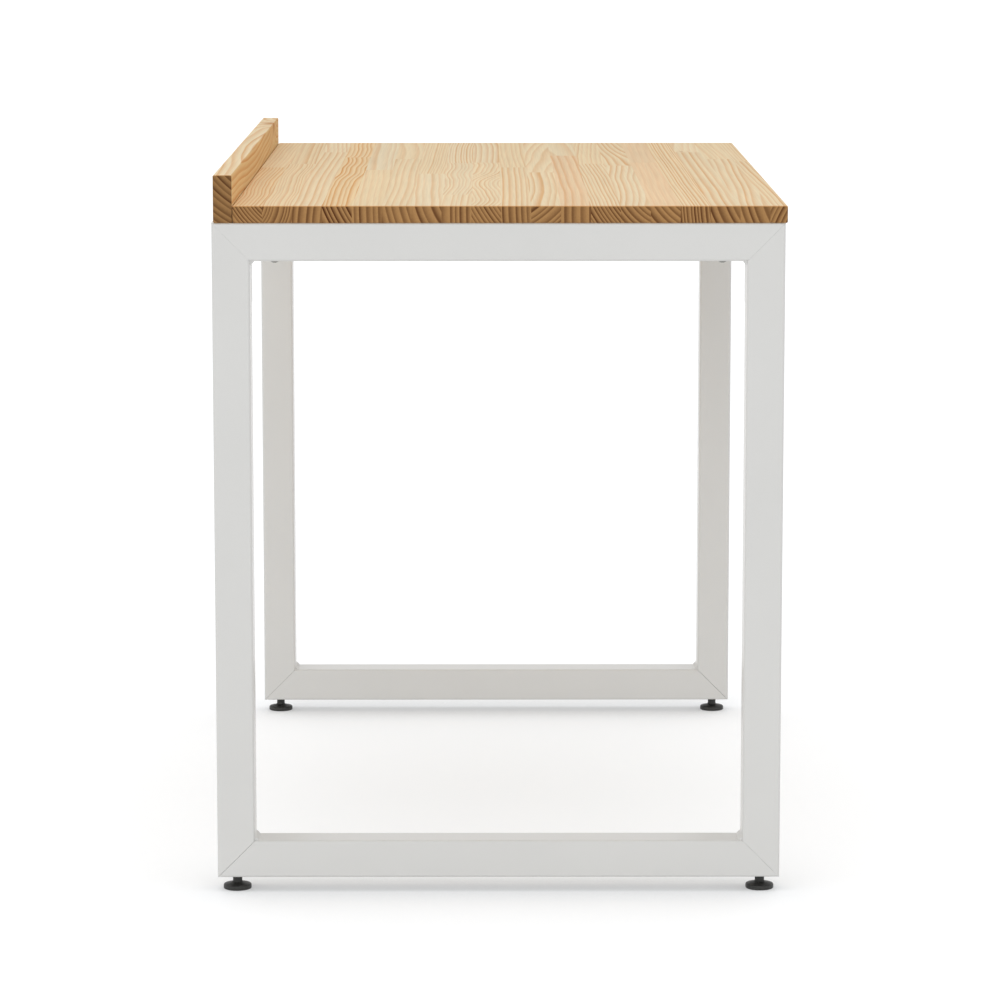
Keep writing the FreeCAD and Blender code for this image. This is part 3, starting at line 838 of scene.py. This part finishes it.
upstand_low, upstand_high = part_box("upstand")
upstand_shape = board_shape(upstand_low + Vector((0, seam_gap / 2, 0)), upstand_high)
add_layers(upstand_shape)
upstand_centre = ((upstand_low.y + upstand_high.y) / 2, (upstand_low.z + upstand_high.z) / 2)
upstand_grain = grain_block(chance, upstand_centre, upstand_low.x, *upstand_block, knot=upstand_knot)
stamp(upstand_shape, upstand_shape.faces, upstand_grain)
# The inner face takes the darker tone of painted shade.
inner_face = [face for face in upstand_shape.faces
              if face.normal.y < -turned_enough and abs(face.normal.x) < turned_enough]
stamp(upstand_shape, inner_face, {**upstand_grain, "tone": shaded_inner_tone})
end_faces = [face for face in upstand_shape.faces if abs(face.normal.x) > turned_enough]
stamp(upstand_shape, end_faces, {**upstand_grain, "tone": end_tone})
board_piece("pine_upstand", upstand_shape, pine, "upstand")


# Dowels: plain round beech pins, chamfered at both ends and glued into the top's rear edge and the
# upstand's inner face. They are hidden once the desk is together, and keep their node's shape.

beech_dark = paint(201, 163, 124)
beech_pale = paint(222, 190, 152)
fleck_stretch = (900.0, 60.0, 900.0)


def beech_wood():
    """Beech: pinkish tan with fine flecks along the pin."""
    finish, tree, shader = new_finish("beech")
    place = add_node(tree, "ShaderNodeTexCoord").outputs["Object"]
    drawn_out = add_node(tree, "ShaderNodeVectorMath", {0: place, 1: fleck_stretch},
                         operation="MULTIPLY")
    fleck = add_node(tree, "ShaderNodeTexNoise", {
        "Vector": drawn_out.outputs[0], "Scale": 1.0, "Detail": 3.0})
    plug(tree, shader, {
        "Base Color": mix_colours(tree, fleck.outputs[0], beech_dark, beech_pale),
        "Roughness": 0.6})
    return finish


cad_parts["upstand_dowels"].material_slots[0].material = beech_wood()


# Wood screws: pan-head screws with a cross recess, driven up through the rails into the pine. They
# hold the top to the end frames and the front rail, and the upstand to the rear rail.

pan_radius = 4.5 * mm
pan_height = 3.4 * mm
pan_rim = 1.4 * mm
screw_radius = 2.5 * mm
screw_length = 50 * mm
screw_tip = 5 * mm
cross_width = 4.6 * mm
cross_slot = 1.05 * mm
cross_depth = 1.9 * mm
end_screw_ys = (-234 * mm, 236 * mm)
rail_screw_xs = (-300 * mm, 0, 300 * mm)
upstand_screw_y = 289 * mm


def cross_drive(tree, given):
    """The two crossed slots that are cut from a pan head."""
    depth = calculate(tree, "MULTIPLY", given["Drive Depth"], 2)
    slots = []
    for axis in ("X", "Y"):
        other = "Y" if axis == "X" else "X"
        size = add_node(tree, "ShaderNodeCombineXYZ", {
            axis: given["Drive Width"], other: cross_slot, "Z": depth})
        slot = add_node(tree, "GeometryNodeMeshCube", {"Size": size.outputs[0]})
        slots.append(moved(tree, slot.outputs["Mesh"], upward(tree, given["Head Height"])))
    return slots


pan_tree = screw_tree("pan_head_screw", cross_drive)
pan_sizes = {
    "Head Radius": pan_radius, "Head Height": pan_height,
    "Dome Radius": dome_radius(pan_radius, pan_height, pan_rim),
    "Shank Radius": screw_radius, "Shank Length": screw_length, "Tip Length": screw_tip,
    "Drive Width": cross_width, "Drive Depth": cross_depth}
screw_seats = {
    "end_rail_screws": [(leg_x * sign, y) for sign in (-1, 1) for y in end_screw_ys],
    "front_rail_screws": [(x, rail_middles[0]) for x in rail_screw_xs],
    "upstand_screws": [(x, upstand_screw_y) for x in rail_screw_xs]}
for node, seats in screw_seats.items():
    spots = [((x, y, rail_underside), (0, 0, -1)) for x, y in seats]
    fit(screw_set(f"{node}_set", pan_tree, spots, pan_sizes, zinc), "desk", "zinc_plated_steel", node)


# Levelling feet: a black nylon glide moulded round a threaded steel stud, which screws into an insert
# in the bottom rail. Turning the glide by hand raises or lowers that corner of the desk.

thread_radius = 3 * mm
thread_pitch = 1.0 * mm
thread_depth = 0.58 * mm
thread_steps = 8
stud_chamfer = 0.8 * mm
stud_sides = 32
thread_flank_range = (0.12, 0.85)
nylon_dark = paint(38, 38, 37)
nylon_pale = paint(48, 48, 46)
nylon_roughness = (0.42, 0.56)
nylon_cloud_scale = 90.0
spark_scale = 1600.0
spark_strength = 0.25
spark_height = 0.1 * mm


def black_nylon():
    """Moulded black nylon: near black with a fine spark texture and a dull sheen."""
    finish, tree, shader = new_finish("black_nylon")
    place = add_node(tree, "ShaderNodeTexCoord").outputs["Object"]
    grain = add_node(tree, "ShaderNodeTexNoise", {"Vector": place, "Scale": spark_scale, "Detail": 2.0})
    clouds = add_node(tree, "ShaderNodeTexNoise", {
        "Vector": place, "Scale": nylon_cloud_scale, "Detail": 2.0})
    relief = add_node(tree, "ShaderNodeBump", {
        "Height": grain.outputs[0], "Strength": spark_strength, "Distance": spark_height})
    plug(tree, shader, {
        "Base Color": mix_colours(tree, clouds.outputs[0], nylon_dark, nylon_pale),
        "Roughness": stretch(tree, clouds.outputs[0], *nylon_roughness),
        "Normal": relief.outputs[0]})
    return finish


def thread_tree():
    """A threaded rod: a cylinder whose wall follows a helix, cut to a cone at both ends."""
    tree, given = new_shape_tree("threaded_stud", ("Radius", "Length", "Pitch", "Depth", "Chamfer"))
    rings = calculate(tree, "MULTIPLY", calculate(
        tree, "DIVIDE", given["Length"], given["Pitch"]), thread_steps)
    rod = add_node(tree, "GeometryNodeMeshCylinder", {
        "Vertices": stud_sides, "Side Segments": rings, "Radius": given["Radius"],
        "Depth": given["Length"]})
    spot = add_node(tree, "ShaderNodeSeparateXYZ", {
        0: add_node(tree, "GeometryNodeInputPosition").outputs[0]}).outputs
    angle = calculate(tree, "ARCTAN2", spot["Y"], spot["X"])
    turns = calculate(tree, "DIVIDE", angle, 2 * math.pi)
    climb = calculate(tree, "SUBTRACT", calculate(tree, "DIVIDE", spot["Z"], given["Pitch"]), turns)
    flank = calculate(tree, "ABSOLUTE", calculate(
        tree, "MULTIPLY_ADD", calculate(tree, "FRACT", climb), 2, -1))
    groove = stretch(tree, flank, 0.0, 1.0, *thread_flank_range)
    wall = calculate(tree, "MULTIPLY_ADD", groove, calculate(
        tree, "MULTIPLY", given["Depth"], -1), given["Radius"])
    half = calculate(tree, "MULTIPLY", given["Length"], 0.5)
    to_end = calculate(tree, "SUBTRACT", half, calculate(tree, "ABSOLUTE", spot["Z"]))
    core = calculate(tree, "SUBTRACT", given["Radius"], given["Chamfer"])
    limit = calculate(tree, "ADD", core, to_end)
    reach = calculate(tree, "MINIMUM", wall, limit)
    wound = add_node(tree, "ShaderNodeCombineXYZ", {
        "X": calculate(tree, "MULTIPLY", reach, calculate(tree, "COSINE", angle)),
        "Y": calculate(tree, "MULTIPLY", reach, calculate(tree, "SINE", angle)),
        "Z": spot["Z"]})
    cut = add_node(tree, "GeometryNodeSetPosition", {
        "Geometry": rod.outputs["Mesh"], "Position": wound.outputs[0]})
    close_tree(tree, cut.outputs[0], given["Finish"])
    return tree


nylon = black_nylon()
stud_tree = thread_tree()
for side in ("left", "right"):
    for end in ("front", "rear"):
        corner = f"{side}_{end}"
        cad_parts[f"{corner}_glide"].material_slots[0].material = nylon
        stud_low, stud_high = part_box(f"{corner}_stud")
        stud = add_piece(f"{corner}_threaded_stud", bpy.data.meshes.new(f"{corner}_stud_rod"), zinc)
        grow(stud, stud_tree, {
            "Radius": thread_radius, "Length": stud_high.z - stud_low.z, "Pitch": thread_pitch,
            "Depth": thread_depth, "Chamfer": stud_chamfer, "Finish": zinc})
        stud.data.transform(Matrix.Translation((stud_low + stud_high) / 2))
        fit(stud, f"{corner}_stud", "zinc_plated_steel", f"{corner}_stud")


# Studio: a plain white floor and an even white surround. The floor shows white in the open and keeps
# the desk's soft shadow. Part of that shadow is real, and part is a painted shadow where the floor's glow
# is dimmed under the desk. The light is a broad sky, stronger overhead, with a weak key from the left end,
# which stays out of reflections so that its glare hides no edge.

floor_reach = 60.0
floor_shadow_share = (0.48, 0.49, 0.50)
floor_glow = 0.69
# Painted shadow: where the desk closes the floor in, its glow falls to this level, found by occlusion over
# the given reach and samples.
floor_shaded_glow = 0.34
floor_open_range = (0.35, 0.99)
floor_shadow_reach = 0.9
floor_shadow_samples = 4
floor_bounce = 0.95
sky_horizon = 0.72
sky_zenith = 0.92
key_strength = 0.22
key_spread = math.radians(36)
key_from = Vector((-1.0, 0.3, 0.14))


def seen_directly(tree):
    """1 where the camera sees a thing directly, by reflection or through glass, and 0 elsewhere."""
    path = add_node(tree, "ShaderNodeLightPath").outputs
    mirrored = calculate(tree, "MAXIMUM", path["Is Glossy Ray"], path["Is Transmission Ray"])
    return calculate(tree, "MAXIMUM", path["Is Camera Ray"], mirrored)


def white_floor():
    """White paper: it shows as white in the open and takes a soft shadow. That shadow is real in the
    diffuse part and painted where the glow is dimmed in enclosed places.
    """
    finish, tree, shader = new_finish("white_floor")
    tree.nodes.remove(shader)
    shown = add_node(tree, "ShaderNodeBsdfDiffuse", {"Color": (*floor_shadow_share, 1)})
    openness = add_node(tree, "ShaderNodeAmbientOcclusion", {"Distance": floor_shadow_reach},
                        samples=floor_shadow_samples)
    # Painted shadow: the glow is dimmed where the floor is closed in.
    painted_shadow_glow = stretch(tree, openness.outputs["AO"], floor_shaded_glow, floor_glow, *floor_open_range)
    glow = add_node(tree, "ShaderNodeEmission", {"Color": (1, 1, 1, 1), "Strength": painted_shadow_glow})
    bright = add_node(tree, "ShaderNodeAddShader", {0: shown.outputs[0], 1: glow.outputs[0]})
    bounce = add_node(tree, "ShaderNodeBsdfDiffuse", {"Color": (floor_bounce,) * 3 + (1,)})
    either = add_node(tree, "ShaderNodeMixShader", {
        0: seen_directly(tree), 1: bounce.outputs[0], 2: bright.outputs[0]})
    tree.links.new(either.outputs[0], tree.nodes["Material Output"].inputs["Surface"])
    return finish


floor_mesh = bpy.data.meshes.new("studio_floor")
floor_mesh.from_pydata(
    [(x * floor_reach, y * floor_reach, cad_low.z) for x, y in ((-1, -1), (1, -1), (1, 1), (-1, 1))],
    [], [(0, 1, 2, 3)])
add_piece("studio_floor", floor_mesh, white_floor())

sky = bpy.data.worlds.new("studio_surround")
sky.use_nodes = True
sky_tree = sky.node_tree
sky_tree.nodes.clear()
upness = add_node(sky_tree, "ShaderNodeSeparateXYZ", {
    0: add_node(sky_tree, "ShaderNodeTexCoord").outputs["Generated"]}).outputs["Z"]
lit = add_node(sky_tree, "ShaderNodeBackground", {
    "Color": (1, 1, 1, 1), "Strength": stretch(sky_tree, upness, sky_horizon, sky_zenith)})
plain = add_node(sky_tree, "ShaderNodeBackground", {"Color": (1, 1, 1, 1), "Strength": 1.0})
surround = add_node(sky_tree, "ShaderNodeMixShader", {
    0: seen_directly(sky_tree), 1: lit.outputs[0], 2: plain.outputs[0]})
add_node(sky_tree, "ShaderNodeOutputWorld", {"Surface": surround.outputs[0]})
bpy.context.scene.world = sky

key = bpy.data.lights.new("key_light", "SUN")
key.energy = key_strength * math.pi
key.angle = key_spread
key_object = bpy.data.objects.new("key_light", key)
key_object.visible_glossy = False
key_object.rotation_mode = "QUATERNION"
key_object.rotation_quaternion = key_from.to_track_quat("Z", "Y")
bpy.context.scene.collection.objects.link(key_object)


# Camera: a long lens that looks straight at the desk's left end from a little above the top. It has
# no lens shift, so that the desk stays in the picture from any other side as well.

camera_place = (-4.858, 0.0143, 1.086)
camera_aim = Vector((0.98865, -0.00335, -0.15022))
camera_lens = 150.6
camera_sensor = 36.0
camera_sight = 180.0

lens = bpy.data.cameras.new("camera")
lens.lens = camera_lens
lens.sensor_width = camera_sensor
lens.clip_end = camera_sight
camera = bpy.data.objects.new("camera", lens)
camera.location = camera_place
camera.rotation_mode = "QUATERNION"
camera.rotation_quaternion = camera_aim.to_track_quat("-Z", "Y")
bpy.context.scene.collection.objects.link(camera)
bpy.context.scene.camera = camera
bpy.context.scene.view_settings.view_transform = "Standard"
